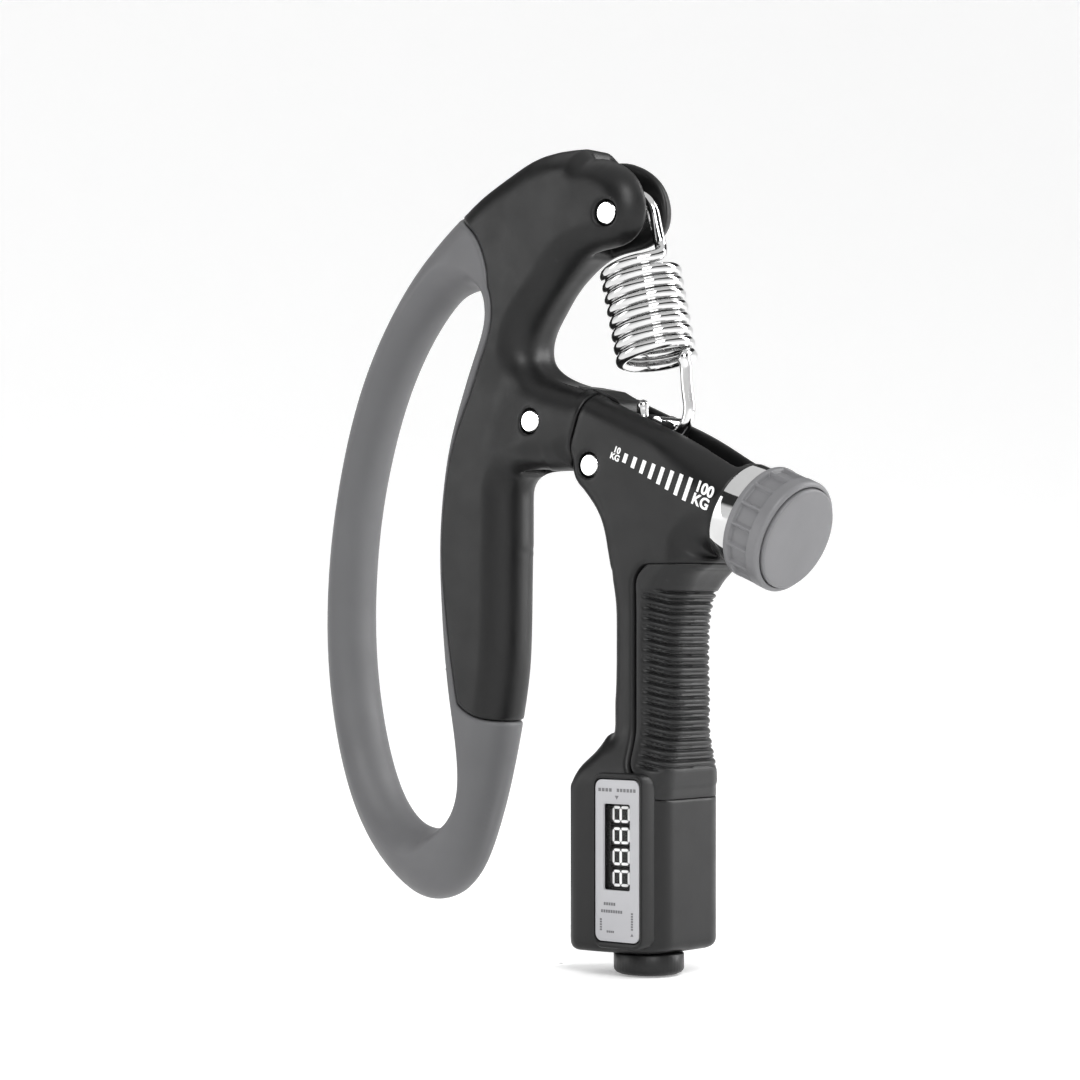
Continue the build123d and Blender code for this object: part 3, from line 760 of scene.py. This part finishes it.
def tube(name, line, radius=WIRE_R, sides=18):
    """Round wire along a line of points, with domed ends."""
    line = np.array([in_spring(*p) for p in line])
    run = np.gradient(line, axis=0)
    run /= np.linalg.norm(run, axis=1)[:, None]
    out = np.cross(run[0], SIDE if abs(run[0] @ SIDE) < 0.8 else ACROSS)
    rings = []
    for point, along in zip(line, run):
        out = out - along * (out @ along)
        out /= np.linalg.norm(out)
        rings.append((point, along, out.copy(), np.cross(along, out)))
    ends = [(radius * sin(a), radius * cos(a)) for a in (radians(82), radians(58), radians(30))]
    stack = [(rings[0], -back, wide) for back, wide in ends]
    stack += [(ring, 0, radius) for ring in rings]
    stack += [(rings[-1], back, wide) for back, wide in ends[::-1]]
    points = []
    for (point, along, u, v), shift, wide in stack:
        for i in range(sides):
            a = 2 * pi * i / sides
            points.append(point + along * shift + wide * (u * cos(a) + v * sin(a)))
    faces = [tuple(range(sides))[::-1], tuple(range(len(points) - sides, len(points)))]
    for j in range(len(stack) - 1):
        for i in range(sides):
            k = (i + 1) % sides
            faces.append((j * sides + i, j * sides + k, (j + 1) * sides + k, (j + 1) * sides + i))
    return dress(new_object(name, points, faces), "chrome")


def make_spring():
    """One wire in three pieces: an eye and the upper coil, the lower coil, and the hook."""
    half = COIL_TURNS / 2
    turns = [0.56 + (half - 0.56) * i / 130 for i in range(131)]
    eye = arc_points(EYE_MID, EYE_R, -122, 0, 26)
    leg = curved([(EYE_R, 0, EYE_MID), (6.05, 0, 5.2), (6.45, 0.35, 8.6), (7.0, 1.9, 10.35),
                  coil_point(0.5), coil_point(0.56)], 7)
    upper = tube("spring_upper_coil", eye[:-1] + leg[:-1] + [coil_point(t) for t in turns])
    low_turns = [half + (COIL_TURNS - 0.09 - half) * i / 130 for i in range(131)]
    lower = tube("spring_lower_coil", [coil_point(t) for t in low_turns])
    bend = curved([coil_point(COIL_TURNS - 0.09), coil_point(COIL_TURNS - 0.04), (7.2, 0.5, 32.2),
                   (6.9, 0.05, 34.2), (6.3, 0, 37.6), (EYE_R, 0, HOOK_MID)], 8)
    hook = tube("spring_foot_hook", bend[:-1] + arc_points(HOOK_MID, EYE_R, 0, 203, 40))
    for piece, node in ((upper, "spring_coil"), (lower, "spring_coil_low")):
        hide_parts(node)
    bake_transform(upper)
    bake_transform(lower)
    kept(hook, "spring_foot", "bright_chrome", "spring_hook")


# ---- Turned parts ----
def turned(name, profile, start, axis, across, sides=96, dents=None):
    """A closed body of revolution. profile is (distance along the axis, radius) from end to end,
    and dents(angle, along, radius) gives the radius that is lost there."""
    start, axis, across = np.array(start), np.array(axis), np.array(across)
    third = np.cross(axis, across)
    points = [start + axis * profile[0][0]]
    for along, radius in profile:
        for i in range(sides):
            a = 2 * pi * i / sides
            wide = radius - (dents(a, along, radius) if dents else 0)
            points.append(start + axis * along + wide * (across * cos(a) + third * sin(a)))
    points.append(start + axis * profile[-1][0])
    faces = []
    for i in range(sides):
        k = (i + 1) % sides
        faces.append((0, 1 + k, 1 + i))
        for j in range(len(profile) - 1):
            low, high = 1 + j * sides, 1 + (j + 1) * sides
            faces.append((low + i, low + k, high + k, high + i))
        last = 1 + (len(profile) - 1) * sides
        faces.append((last + i, last + k, len(points) - 1))
    return new_object(name, points, faces)


def rounded_rim(at, radius, round_r, toward, steps=5):
    """Profile points that round a rim: from the side over to the end face, or the other way."""
    turns = [pi / 2 * i / steps for i in range(steps + 1)]
    return [(at - toward * (round_r - round_r * sin(t)), radius - round_r + round_r * cos(t))
            for t in turns]


ARM_AXIS = np.array([ALONG[0], 0, ALONG[1]])
FACE_POINT = np.array([KNOB_FACE[0], 0, KNOB_FACE[1]])
KNOB_R = 11.75
KNOB_FROM = -10.0
KNOB_PANELS = 16


def panel_dent(angle, along, radius):
    """Recessed panels round the knob, with a narrow rib between each pair."""
    turn = (angle / (2 * pi) * KNOB_PANELS) % 1
    share = 1 - abs(turn - 0.5) * 2
    round_way = smooth(0.13, 0.21, share)
    along_way = smooth(-8.75, -8.5, along) * smooth(-3.85, -4.1, along)
    return 0.80 * float(round_way * along_way)


def make_knob():
    """The adjusting knob, the disc in its end, and the bright collar behind it."""
    ends = rounded_rim(-1.0, KNOB_R, 0.9, 1)
    start = rounded_rim(KNOB_FROM, KNOB_R, 0.5, -1)[::-1]
    side = [(a, KNOB_R) for a in np.arange(-9.4, -2.0, 0.14)]
    profile = [(KNOB_FROM, 8.0)] + start + side + ends + [(-1.0, 10.75), (-1.55, 10.7), (-1.55, 9.0)]
    knob = turned("knob_grip", profile, FACE_POINT, ARM_AXIS, [0, 1, 0], 16 * 24, panel_dent)
    kept(dress(knob, "knob"), "knob", "knob_grey", "adjust_knob")
    rim = rounded_rim(-0.12, 10.5, 0.45, 1)
    dome = [(-0.12 + 0.12 * (1 - (r / 10.05) ** 2), r) for r in (9.0, 7.5, 6.0, 4.5, 3.0, 1.5, 0.5)]
    cap = turned("knob_end_disc", [(-1.5, 10.5)] + rim + dome, FACE_POINT, ARM_AXIS, [0, 1, 0], 128)
    kept(dress(cap, "knob"), "knob", "knob_grey", "knob_cap")
    low, high = ARM_END + 0.02, KNOB_FROM - 0.12
    collar_profile = ([(low, 3.1)] + rounded_rim(low, 10.45, 0.35, -1)[::-1]
                      + rounded_rim(high, 10.45, 0.35, 1) + [(high, 3.1)])
    collar = turned("chrome_collar", collar_profile, FACE_POINT, ARM_AXIS, [0, 1, 0], 128)
    kept(dress(collar, "chrome"), "finger_handle", "bright_chrome", "arm_collar")


def make_lead_screw():
    """A screw with a real thread, down the middle of the arm."""
    pitch, depth, sides, start, end = 2.5, 0.38, 40, -42.3, -10.2
    rows = int((end - start) / pitch * 14)
    up, across = np.array([ARM_UP[0], 0, ARM_UP[1]]), np.array([0, 1, 0])
    points, faces = [], []
    for j in range(rows + 1):
        along = start + (end - start) * j / rows
        tip = min(1.0, (along - start) / 1.2)
        for i in range(sides):
            a = 2 * pi * i / sides
            wave = abs(((along / pitch + i / sides) % 1) * 2 - 1)
            radius = (3.0 - 0.6 * (1 - tip)) - depth * float(smooth(0.25, 0.85, wave))
            out = up * cos(a) + across * sin(a)
            points.append(FACE_POINT + ARM_AXIS * along + radius * out)
    for j in range(rows):
        for i in range(sides):
            k = (i + 1) % sides
            faces.append((j * sides + i, (j + 1) * sides + i, (j + 1) * sides + k, j * sides + k))
    faces.append(tuple(range(sides)))
    faces.append(tuple(range(rows * sides, (rows + 1) * sides))[::-1])
    screw = new_object("thread", points, faces)
    kept(dress(screw, "plate"), "knob", "polished_steel", "lead_screw")


def make_reset_knob():
    """The knob under the housing, with fine flutes round it."""
    low, high = -85.0, HOUSE_LOW - 0.15
    profile = [(low, 0.6), (low, 5.4), (low + 0.1, 6.0), (low + 0.45, 6.75), (low + 0.9, 7.1),
               (low + 1.3, 7.2), (high - 0.25, 7.2), (high, 6.95), (high, 1.7)]

    def flutes(angle, along, radius):
        fluted = radius > 7.0 and along < high - 0.4
        return 0.10 * (0.5 + 0.5 * cos(angle * 48)) if fluted else 0

    knob = turned("reset_button", profile, [*RESET_AXIS, 0], [0, 0, 1], [1, 0, 0], 128, flutes)
    kept(dress(knob, "black"), "reset", "black_plastic", "reset_knob")


# ---- Counter's figures and label ----
SEGMENTS = {  # middle and half length of each bar, in a figure one unit wide and two tall
    "a": ((0, 1), True), "b": ((0.5, 0.5), False), "c": ((0.5, -0.5), False), "d": ((0, -1), True),
    "e": ((-0.5, -0.5), False), "f": ((-0.5, 0.5), False), "g": ((0, 0), True),
}
FIGURES = {0: "abcdef", 1: "bc", 2: "abged", 3: "abgcd", 4: "fgbc", 5: "afgcd", 6: "afgedc",
           7: "abc", 8: "abcdefg", 9: "abcdfg"}
FIGURE_WIDE = 2.8
FIGURE_TALL = 1.85  # half of a figure's height
BAR = 0.28  # half of a bar's width
SHOWN_AT = radians(-6.9)  # where the shown figure sits, round the wheel from its front


def bar_outline(middle, flat):
    """A segment's pointed bar in the figure's plane."""
    mx, my = middle[0] * FIGURE_WIDE, middle[1] * FIGURE_TALL
    long = (FIGURE_WIDE / 2 if flat else FIGURE_TALL / 2) - 0.09
    tips = [(-long, 0), (-long + BAR, BAR), (0, BAR), (long - BAR, BAR),
            (long, 0), (long - BAR, -BAR), (0, -BAR), (-long + BAR, -BAR)]
    return [(mx + (u if flat else v), my + (v if flat else u)) for u, v in tips]


def make_figures():
    """Ten figures round each number wheel, with 8 at the window."""
    names = ("thousands", "hundreds", "tens", "units")
    for number, name in enumerate(names):
        level = WHEELS_TOP - 2.0 - WHEEL_PITCH * number
        points, faces = [], []
        for value, lit in FIGURES.items():
            for key in lit:
                outline = bar_outline(*SEGMENTS[key])
                for radius in (WHEEL_R - 0.05, WHEEL_R + 0.025):
                    for u, v in outline:
                        angle = SHOWN_AT + radians(36.0) * (value - 8) - v / WHEEL_R
                        points.append((WHEEL_AXIS[0] - radius * sin(angle),
                                       WHEEL_AXIS[1] - radius * cos(angle), level - u))
                base, n = len(points) - 2 * len(outline), len(outline)
                faces.append(tuple(base + n + i for i in range(n)))
                faces.append(tuple(base + i for i in range(n))[::-1])
                faces += [(base + i, base + (i + 1) % n, base + n + (i + 1) % n, base + n + i)
                          for i in range(n)]
        printed = new_object(f"{name}_figures", points, faces, False)
        fix_normals(printed)
        # The figures' material adds a painted glow (emission) to their white print.
        kept(dress(printed, "figures"), f"{name}_digit", "white_print")


def fix_normals(piece):
    """Turns every face of a closed piece outwards."""
    made = bmesh.new()
    made.from_mesh(piece.data)
    bmesh.ops.recalc_face_normals(made, faces=made.faces)
    made.to_mesh(piece.data)
    made.free()


def rounded_rect(x0, z0, x1, z1, radius, steps=6):
    """Corner-rounded rectangle in XZ, anticlockwise seen from the front."""
    spots = ((x1 - radius, z1 - radius, 0), (x0 + radius, z1 - radius, 90),
             (x0 + radius, z0 + radius, 180), (x1 - radius, z0 + radius, 270))
    turns = [(x, z, radians(a + 90 * i / steps)) for x, z, a in spots for i in range(steps + 1)]
    return [(x + radius * cos(t), z + radius * sin(t)) for x, z, t in turns]


def framed_plate(name, outer, hole, back, front, edge, deeper=0.0):
    """A plate with a hole through it along Y, both outlines with as many points, and soft edges.
    deeper takes its right side further back, to meet a surface that falls away."""
    rings = []
    for loop, way in ((outer, 1), (hole, -1)):
        loop = np.array(loop)
        inward = np.mean(loop, 0) - loop
        inward = np.sign(inward) * np.minimum(np.abs(inward), 1) * way
        side_back = back + deeper * smooth(30.5, 32.0, loop[:, 0])
        rings.append([(loop + inward * edge * pull, y) for pull, y in
                      ((0, side_back), (0, front + edge), (0.3, front + edge * 0.3), (1, front))])
    points, n = [], len(outer)
    layers = rings[0] + rings[1][::-1]
    for loop, y in layers:
        points += [(x, at, z) for (x, z), at in zip(loop, np.broadcast_to(y, n))]
    faces = []
    for j in range(len(layers)):
        k = (j + 1) % len(layers)
        faces += [(j * n + i, j * n + (i + 1) % n, k * n + (i + 1) % n, k * n + i)
                  for i in range(n)]
    made = new_object(name, points, faces)
    fix_normals(made)
    return made


def sharp_shaded(piece, angle=35):
    """Smooth shading that keeps edges sharper than the angle."""
    with bpy.context.temp_override(object=piece, active_object=piece,
                                   selected_editable_objects=[piece]):
        bpy.ops.object.shade_smooth_by_angle(angle=radians(angle))
    return piece


def make_label():
    """The raised bezel, the pale label in it, and the plain marks that stand for its small print."""
    bezel = framed_plate("bezel_frame", rounded_rect(19.7, -79.2, 32.5, -43.8, 2.2),
                         rounded_rect(20.3, -77.9, 31.8, -45.0, 1.7), -11.9, -14.0, 0.55, 2.4)
    kept(dress(sharp_shaded(bezel), "black"), "finger_handle", "black_plastic", "counter_bezel")
    window = rounded_rect(*WINDOW, 0.5)
    label = framed_plate("label_film", rounded_rect(20.42, -77.78, 31.68, -45.12, 1.6), window,
                         -13.3, -13.86, 0.12)
    kept(dress(sharp_shaded(label), "label"), "finger_handle", "label_grey", "label_plate")
    mask = framed_plate("window_mask", rounded_rect(20.4, -67.38, 29.28, -50.02, 0.4),
                        rounded_rect(23.1, -67.1, 29.1, -50.3, 0.2), -12.045, -12.095, 0.01)
    kept(dress(sharp_shaded(mask), "wheel"), "finger_handle", "wheel_black")
    rows = (  # a row's first mark, the step to the next, a mark's half sizes, and their number
        ((21.6, -47.2), (0.92, 0), (0.33, 0.34), 4), ((26.3, -47.2), (0.84, 0), (0.30, 0.34), 6),
        ((22.9, -70.2), (0.62, 0), (0.23, 0.30), 5), ((22.2, -71.7), (0.62, 0), (0.23, 0.30), 9),
        ((21.9, -73.4), (0, -0.52), (0.26, 0.18), 5), ((29.9, -71.9), (0, -0.52), (0.26, 0.18), 7),
        ((23.6, -75.8), (0.5, 0), (0.19, 0.22), 4),
    )
    points, faces = [], []
    front, back = -13.885, -13.8
    for (left, level), (step_x, step_z), (wide, tall), number in rows:
        for i in range(number):
            x, z = left + step_x * i, level + step_z * i
            add_prism(points, faces, [(x - wide, z - tall), (x + wide, z - tall),
                                      (x + wide, z + tall), (x - wide, z + tall)], back, front)
    for x, z, size, way in ((26.0, -48.6, 0.5, -1), (29.9, -76.2, 0.38, 1)):
        add_prism(points, faces, [(x - size, z - way * size * 0.6), (x + size, z - way * size * 0.6),
                                  (x, z + way * size)], back, front)
    small = new_object("label_marks", points, faces, False)
    fix_normals(small)
    kept(dress(small, "ink"), "finger_handle", "label_grey")


def add_prism(points, faces, outline, back, front):
    """Adds a flat shape with that XZ outline, from back to front along Y."""
    base, n = len(points), len(outline)
    for y in (back, front):
        points += [(x, y, z) for x, z in outline]
    faces.append(tuple(base + i for i in range(n)))
    faces.append(tuple(base + n + i for i in range(n))[::-1])
    faces += [(base + i, base + n + i, base + n + (i + 1) % n, base + (i + 1) % n)
              for i in range(n)]


def make_scale_words():
    """The setting's lowest and highest values, printed at the ends of the bars."""
    ends = (("scale_low", "10", 1.4, -42.2, 1.55), ("scale_high", "100", 2.45, -18.5, 1.7))
    for name, number, size, along, up in ends:
        for row, (text, lift) in enumerate(((number, 0.53), ("KG", -0.53))):
            words = bpy.data.curves.new(name, "FONT")
            words.body = text
            words.align_x, words.align_y = "CENTER", "CENTER"
            words.size = size * 1.28 * MM
            words.offset = 0.035 * size * MM
            words.extrude = 0.07 * MM
            at = arm_point(along, up + lift * size * 1.02)
            turn = Matrix.Rotation(ARM_FALL, 4, "Y") @ Matrix.Rotation(pi / 2, 4, "X")
            carrier = bpy.data.objects.new(name, words)
            bpy.context.scene.collection.objects.link(carrier)
            bpy.context.view_layer.update()
            mesh = bpy.data.meshes.new_from_object(carrier)
            bpy.data.objects.remove(carrier)
            mesh.transform(Matrix.Translation(Vector((at[0], -10.03, at[1])) * MM) @ turn)
            piece = bpy.data.objects.new(f"{name}_row_{row + 1}", mesh)
            bpy.context.scene.collection.objects.link(piece)
            kept(dress(piece, "print"), "finger_handle", "white_print")


# ---- CAD nodes that keep their shape ----
def dress_cad_nodes():
    """Gives each node that is still shown a material, and a rounding in millimetres."""
    looks = {
        "spring_pin": ("pin", 0.25), "link_pin": ("pin", 0.25), "pivot_pin": ("pin", 0.25),
        "hinge_link": ("black", 0.5), "spring_bush": ("pin", 0.1), "back_cover": ("black", 0.6),
        "cover_screws": ("plate", 0.08), "counter_frame": ("plate", 0.1), "reset_shaft": ("pin", 0.1),
        "count_rod": ("pin", 0.1), "slider_nut": ("black", 0.25), "hook_bar": ("pin", 0.15),
        "scale_marks": ("print", 0), "window_lens": ("window", 0),
        "units_wheel": ("wheel", 0), "tens_wheel": ("wheel", 0),
        "hundreds_wheel": ("wheel", 0), "thousands_wheel": ("wheel", 0),
    }
    for name, (material, edge) in looks.items():
        node = dress(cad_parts[name], material)
        if edge:
            soften(node, edge)


# ---- Studio ----
def pale(name, value):
    """Matt studio paper that glows a little near the ground and is dark high up the wall."""
    n = Nodes(name)
    mottled = n.ramp(n.noise(3, 3), [(0.3, grey(value * 0.99)), (0.7, grey(value))])
    height = n.add("SeparateXYZ", {0: n.add("TexCoord").outputs["Object"]}).outputs["Z"]
    dark_wall = n.add("MapRange", {0: height, 1: 0.8, 2: 1.4},
                      interpolation_type="SMOOTHSTEP").outputs[0]
    n.set(Base_Color=n.blend(dark_wall, mottled, grey(0.06)))
    n.set(Emission_Color=n.blend(dark_wall, grey(1.0), grey(0.0)), Emission_Strength=0.28)
    n.set(Roughness=0.9, Specular_IOR_Level=0.15)
    return n.material


def make_stage():
    """A pale round floor whose rim sweeps up into a wall, so every view has the same ground."""
    floor_level, flat, bend, wall = HOUSE_LOW - 4.8, 700.0, 2600.0, 600.0
    profile = [(0.5, 0), (200, 0), (450, 0), (flat, 0)]
    profile += [(flat + bend * sin(radians(a)), bend * (1 - cos(radians(a))))
                for a in range(2, 91, 2)]
    profile += [(flat + bend, bend + wall)]
    sides = 96
    points = [(r * cos(2 * pi * i / sides), r * sin(2 * pi * i / sides), floor_level + h)
              for r, h in profile for i in range(sides)]
    faces = [tuple(range(sides))]
    for j in range(len(profile) - 1):
        for i in range(sides):
            k = (i + 1) % sides
            faces.append((j * sides + i, j * sides + k, (j + 1) * sides + k, (j + 1) * sides + i))
    floor = new_object("floor", points, faces)
    floor.data.materials.append(pale("studio_paper", 0.92))


def make_light(name, at, size, power):
    """An area light that faces the object."""
    light = bpy.data.lights.new(name, "AREA")
    light.shape, light.energy = "RECTANGLE", power
    light.size, light.size_y = size
    lamp = bpy.data.objects.new(name, light)
    lamp.location = at
    lamp.rotation_euler = (-Vector(at)).to_track_quat("-Z", "Y").to_euler()
    bpy.context.scene.collection.objects.link(lamp)


def make_lights():
    """An even white world, a key and a fill in front, and a rim light behind."""
    world = bpy.data.worlds.new("studio")
    world.use_nodes = True
    world.node_tree.nodes["Background"].inputs["Color"].default_value = (1, 1, 1, 1)
    world.node_tree.nodes["Background"].inputs["Strength"].default_value = 0.9
    bpy.context.scene.world = world
    make_light("key", (0.95, -0.75, 0.85), (0.6, 0.8), 14)
    make_light("fill", (-0.9, -0.9, 0.35), (0.5, 0.9), 4)
    make_light("rim", (0.55, 0.75, 0.45), (0.3, 0.9), 8)
    scene = bpy.context.scene
    scene.view_settings.view_transform = "Standard"
    scene.view_settings.look = "None"


def make_camera():
    """Level, 0.6 m off and 40 degrees round to the right of the front."""
    turn, away = radians(40.0), 0.615
    aim = Vector((-5.8, 0, -11.9)) * MM
    camera_data = bpy.data.cameras.new("view")
    camera_data.sensor_width, camera_data.lens = 36.0, 96.67
    camera_data.shift_y = 0.0694
    camera_data.clip_start = 0.01
    camera = bpy.data.objects.new("view", camera_data)
    camera.location = aim + Vector((sin(turn), -cos(turn), 0)) * away
    camera.rotation_euler = (pi / 2, 0, turn)
    bpy.context.scene.collection.objects.link(camera)
    bpy.context.scene.camera = camera


make_handles()
make_spring()
make_knob()
make_lead_screw()
make_reset_knob()
make_figures()
make_label()
make_scale_words()
dress_cad_nodes()
make_stage()
make_lights()
make_camera()
